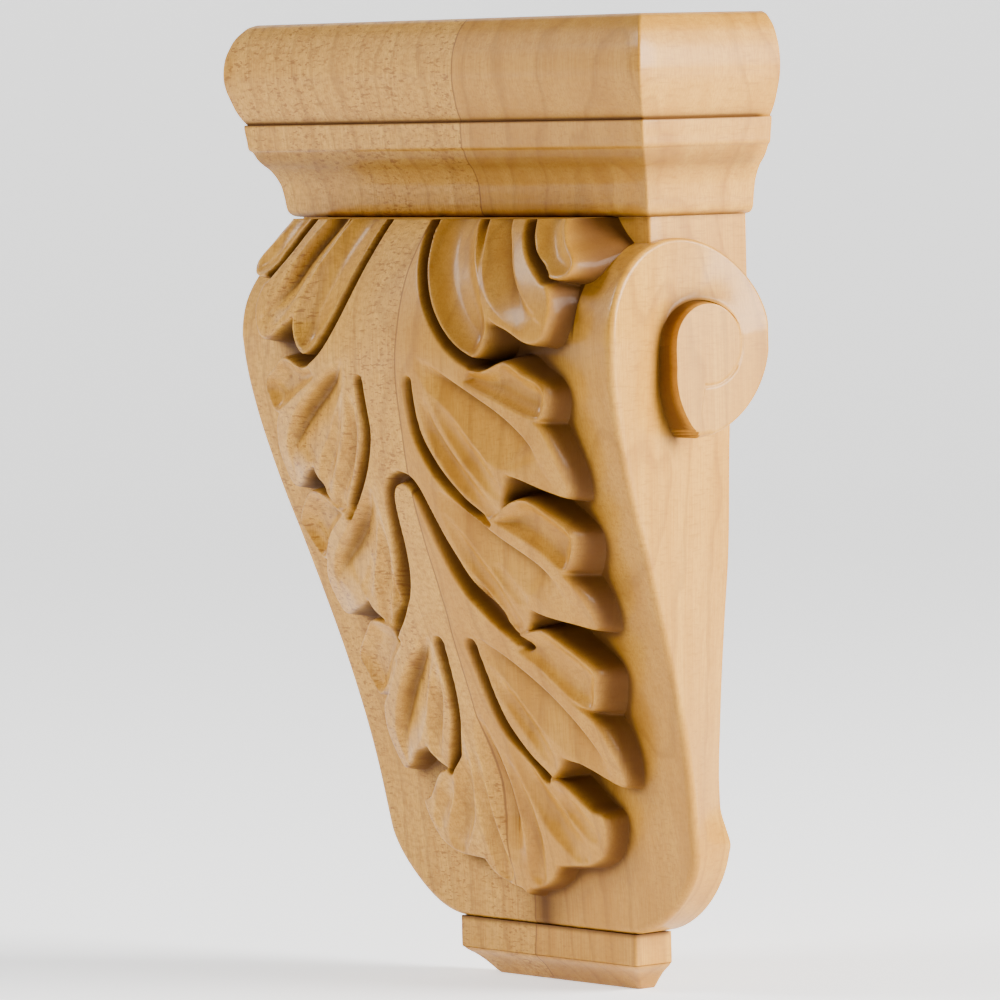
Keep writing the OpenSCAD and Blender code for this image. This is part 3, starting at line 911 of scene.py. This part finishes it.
class Shader:
    def __init__(self, name):
        self.material = bpy.data.materials.new(name)
        self.material.use_nodes = True
        self.tree = self.material.node_tree
        self.tree.nodes.clear()

    def node(self, kind, settings=None, inputs=None):
        node = self.tree.nodes.new(kind)
        for key, value in (settings or {}).items():
            setattr(node, key, value)
        for key, value in (inputs or {}).items():
            if isinstance(value, Value):
                self.tree.links.new(value.socket, node.inputs[key])
            else:
                node.inputs[key].default_value = value
        return Outputs(self, node)

    def number(self, value):
        node = self.node("ShaderNodeValue")
        node.raw.outputs[0].default_value = value
        return node["Value"]

    def noise(self, where, detail, roughness=0.5):
        return self.node("ShaderNodeTexNoise", {"noise_dimensions": "3D"}, {
            "Vector": where, "Scale": 1.0, "Detail": detail, "Roughness": roughness,
        })["Fac"]

    def stretch(self, where, scale, offset=(0, 0, 0)):
        return self.node("ShaderNodeMapping", None, {
            "Vector": where, "Scale": scale, "Location": offset,
        })["Vector"]

    def between(self, value, low, high):
        # 0 below low, 1 above high, soft between
        return self.node("ShaderNodeMapRange", {"interpolation_type": "SMOOTHSTEP"},
                         {"Value": value, "From Min": low, "From Max": high})["Result"]

    def mix(self, amount, first, second):
        # of a Mix node's sockets, 0, 6 and 7 are those for colours, and so is output 2
        return self.node("ShaderNodeMix", {"data_type": "RGBA"}, {0: amount, 6: first, 7: second})[2]


maple = {
    "pale": (0.62, 0.325, 0.045, 1),
    "warm": (0.37, 0.150, 0.007, 1),
    "line": (0.14, 0.044, 0.003, 1),
    "fleck": (0.24, 0.088, 0.006, 1),
    # brown of pooled finish and painted shade in hollows and creases
    "hollow": (0.080, 0.026, 0.002, 1),
    "seamAt": (3.2, 0.068),  # the glue seam's place at mid-height, and its lean
    "seamWander": 3.0,
    "seamWidth": (0.1, 0.42),
    "rightBoard": (171.0, 63.0, 37.0),  # the right board's place in the log
    "ringGap": 8.5,
    "ringWander": 5.0,
    "boardTone": 0.42,  # how much warmer the right board is
    "broadTone": 0.36,
    "streakTone": 0.55,
    "ringTone": 0.14,
    "ringLine": 0.22,
    "fleckTone": 0.80,
    "rippleTone": (0.42, 0.22),  # on the left board, and how much less on the right
    "seamTone": 0.72,
    # how far the pooled finish and painted shade darken the colour
    "hollowTone": 0.92,
    "roughness": (0.42, 0.10, 0.22),  # base, and what streaks and hollows add
    "coat": (0.20, 0.75),  # weight, and the share that hollows take away
    "coatRoughness": 0.17,
    "seamScale": (0.02, 0.02, 0.03),  # noise turns per millimetre in x, y and z
    "warpScale": (0.022, 0.022, 0.010),
    "streakScale": (2.6, 2.6, 0.035),
    "broadScale": (0.16, 0.16, 0.010),
    "rippleScale": (0.42, 0.42, 0.95),
    "dashScale": (0.50, 0.16, 1.5),
    "fleckScale": (0.055, 0.055, 0.012),
    "ringAxis": ((1.0, 1.0, 0.13), (-62, 40, 14)),  # stretch and place of the rings' axis
    "bump": (0.22, 0.00022),  # strength, and depth in metres
}


def makeMaple():
    s = Shader("mapleSatin")
    where = s.node("ShaderNodeTexCoord")["Object"]
    where = s.stretch(where, (1000, 1000, 1000))  # millimetres
    parts = s.node("ShaderNodeSeparateXYZ", None, {"Vector": where})
    seamMiddle, seamLean = maple["seamAt"]
    wander = s.noise(s.stretch(where, maple["seamScale"]), 2) - 0.5
    seamAway = parts["X"] - seamMiddle - parts["Z"] * seamLean - wander * maple["seamWander"]
    rightBoard = s.between(seamAway, -0.05, 0.05)
    seam = 1 - s.between(seamAway.sum("ABSOLUTE"), *maple["seamWidth"])

    # each board has its own place in the log
    apart = dict(enumerate(rightBoard * far for far in maple["rightBoard"]))
    shift = s.node("ShaderNodeCombineXYZ", None, apart)["Vector"]
    log = s.node("ShaderNodeVectorMath", {"operation": "ADD"}, {0: where, 1: shift})["Vector"]

    # growth rings round an axis behind the right side
    warp = s.noise(s.stretch(log, maple["warpScale"]), 3) - 0.5
    axis = s.stretch(where, *maple["ringAxis"])
    ringPlace = s.node("ShaderNodeVectorMath", {"operation": "LENGTH"}, {0: axis})["Value"]
    rings = ringPlace / maple["ringGap"] + warp * maple["ringWander"]
    ringTurn = rings - rings.sum("FLOOR")
    ringLine = s.between(ringTurn, 0.72, 0.93) * (1 - s.between(ringTurn, 0.93, 0.995))

    # long streaks, cross ripple and short ray flecks
    streak = s.noise(s.stretch(log, maple["streakScale"]), 4, 0.62)
    broad = s.noise(s.stretch(log, maple["broadScale"]), 3)
    ripple = s.noise(s.stretch(log, maple["rippleScale"]), 3, 0.6)
    dash = s.noise(s.stretch(log, maple["dashScale"]), 2)
    fleckHere = s.between(s.noise(s.stretch(log, maple["fleckScale"]), 1), 0.40, 0.56)
    fleck = s.between(dash, 0.56, 0.66) * fleckHere * (1 - rightBoard * 0.65)
    rippleTone, rippleLess = maple["rippleTone"]

    warmth = s.between(broad, 0.30, 0.72) * maple["broadTone"] + rightBoard * maple["boardTone"]
    tone = s.mix(warmth, maple["pale"], maple["warm"])
    tone = s.mix(s.between(streak, 0.40, 0.66) * maple["streakTone"], tone, maple["warm"])
    tone = s.mix(ringTurn * maple["ringTone"], tone, maple["warm"])
    tone = s.mix(ringLine * maple["ringLine"], tone, maple["line"])
    tone = s.mix(fleck * maple["fleckTone"], tone, maple["fleck"])
    rippled = s.between(ripple, 0.40, 0.70) * (rippleTone - rightBoard * rippleLess)
    tone = s.mix(rippled, tone, maple["fleck"])
    tone = s.mix(seam * maple["seamTone"], tone, maple["line"])

    # the finish gathers in the hollows, browner and duller there; the same mask also paints shade
    # into hollows, creases and wall feet
    finishAndShade = s.node("ShaderNodeAttribute", {"attribute_name": "finishAndShade"})["Fac"]
    pooledAndShaded = s.between(finishAndShade, 0.02, 0.85)
    tone = s.mix(pooledAndShaded * maple["hollowTone"], tone, maple["hollow"])
    grain = streak * 0.5 + ripple * 0.35 - fleck * 0.35 - seam * 0.8
    strength, depth = maple["bump"]
    rough, roughStreak, roughHollow = maple["roughness"]
    coat, coatLoss = maple["coat"]
    surface = s.node("ShaderNodeBsdfPrincipled", None, {
        "Base Color": tone,
        "Roughness": rough + streak * roughStreak + pooledAndShaded * roughHollow,
        "Coat Weight": coat * (1 - pooledAndShaded * coatLoss),
        "Coat Roughness": maple["coatRoughness"],
        "IOR": 1.48,
        "Specular IOR Level": 0.22,
        "Normal": s.node("ShaderNodeBump", None, {
            "Strength": strength, "Distance": depth, "Height": grain,
        })["Normal"],
    })["BSDF"]
    s.node("ShaderNodeOutputMaterial", None, {"Surface": surface})
    return s.material


wood = makeMaple()
for thing in pieces:
    thing.data.materials.append(wood)
print("wood done")


studio = {
    "floor": (0.90, 0.90, 0.895, 1),
    "glow": 0.88,  # the sweep's own light
    "sweep": {"front": 2.4, "behind": 2.5, "curve": 0.8, "height": 3.0, "width": 4.0},  # metres
    "air": 0.16,
    "key": {"from": (1500, 700, 560), "size": (800, 1100), "power": 122},
    "fill": {"from": (-900, -1250, 1150), "size": (700, 700), "power": 30},
    "front": {"from": (-1150, -1000, 60), "size": (260, 1500), "power": 4.5},
}


camera = {
    "target": (-30.23, 0.0, -0.93),
    "distance": 1975.8,
    "azimuth": 50.57,  # degrees round from the front towards the right side
    "elevation": 3.25,
    "roll": -1.31,
    "lens": 266.5,
}


def makeFloor():
    # a pale floor that sweeps up behind the object
    size = studio["sweep"]
    bend = [(size["behind"] + size["curve"] * math.sin(t), size["curve"] * (1 - math.cos(t)))
            for t in np.linspace(0, np.pi / 2, 40)]
    profile = [(-size["front"], 0), *bend, (size["behind"] + size["curve"], size["height"])]
    turn = math.radians(camera["azimuth"])
    away = Vector((-math.sin(turn), math.cos(turn), 0))
    across = Vector((math.cos(turn), math.sin(turn), 0))
    points = []
    for back, rise in profile:
        for side in (-1, 1):
            height = Vector((0, 0, bottomZ * mm + rise))
            points.append(away * back + across * side * size["width"] + height)
    mesh = bpy.data.meshes.new("floor")
    mesh.from_pydata(points, [], gridFaces(len(profile), 2))
    mesh.polygons.foreach_set("use_smooth", [True] * len(mesh.polygons))
    floor = bpy.data.objects.new("floor", mesh)
    bpy.context.collection.objects.link(floor)
    s = Shader("paleFloor")
    surface = s.node("ShaderNodeBsdfPrincipled", None, {
        "Base Color": studio["floor"], "Roughness": 0.9, "Emission Color": (1, 1, 1, 1),
        "Emission Strength": studio["glow"],
    })["BSDF"]
    s.node("ShaderNodeOutputMaterial", None, {"Surface": surface})
    mesh.materials.append(s.material)


def addLight(name, kind):
    data = bpy.data.lights.new(name, "AREA")
    data.shape = "RECTANGLE"
    data.size, data.size_y = [side * mm for side in kind["size"]]
    data.energy = kind["power"]
    lamp = bpy.data.objects.new(name, data)
    lamp.location = Vector(kind["from"]) * mm
    lamp.rotation_euler = (-lamp.location).to_track_quat("-Z", "Y").to_euler()
    bpy.context.collection.objects.link(lamp)


makeFloor()
for lightName in ("key", "fill", "front"):
    addLight(lightName, studio[lightName])
air = bpy.data.worlds.new("air")
air.use_nodes = True
air.node_tree.nodes["Background"].inputs["Color"].default_value = (1, 1, 1, 1)
air.node_tree.nodes["Background"].inputs["Strength"].default_value = studio["air"]
bpy.context.scene.world = air


def makeCamera():
    az, el, roll = [math.radians(camera[key]) for key in ("azimuth", "elevation", "roll")]
    back = Vector((math.sin(az) * math.cos(el), -math.cos(az) * math.cos(el), math.sin(el)))
    right = Vector((0, 0, 1)).cross(back).normalized()
    up = back.cross(right)
    right = right * math.cos(roll) + up * math.sin(roll)
    up = back.cross(right)
    data = bpy.data.cameras.new("camera")
    data.lens = camera["lens"]
    data.sensor_width = 36
    data.clip_end = 100
    eye = bpy.data.objects.new("camera", data)
    place = Matrix((right, up, back)).transposed().to_4x4()
    place.translation = (Vector(camera["target"]) + back * camera["distance"]) * mm
    eye.matrix_world = place
    bpy.context.collection.objects.link(eye)
    bpy.context.scene.camera = eye


makeCamera()
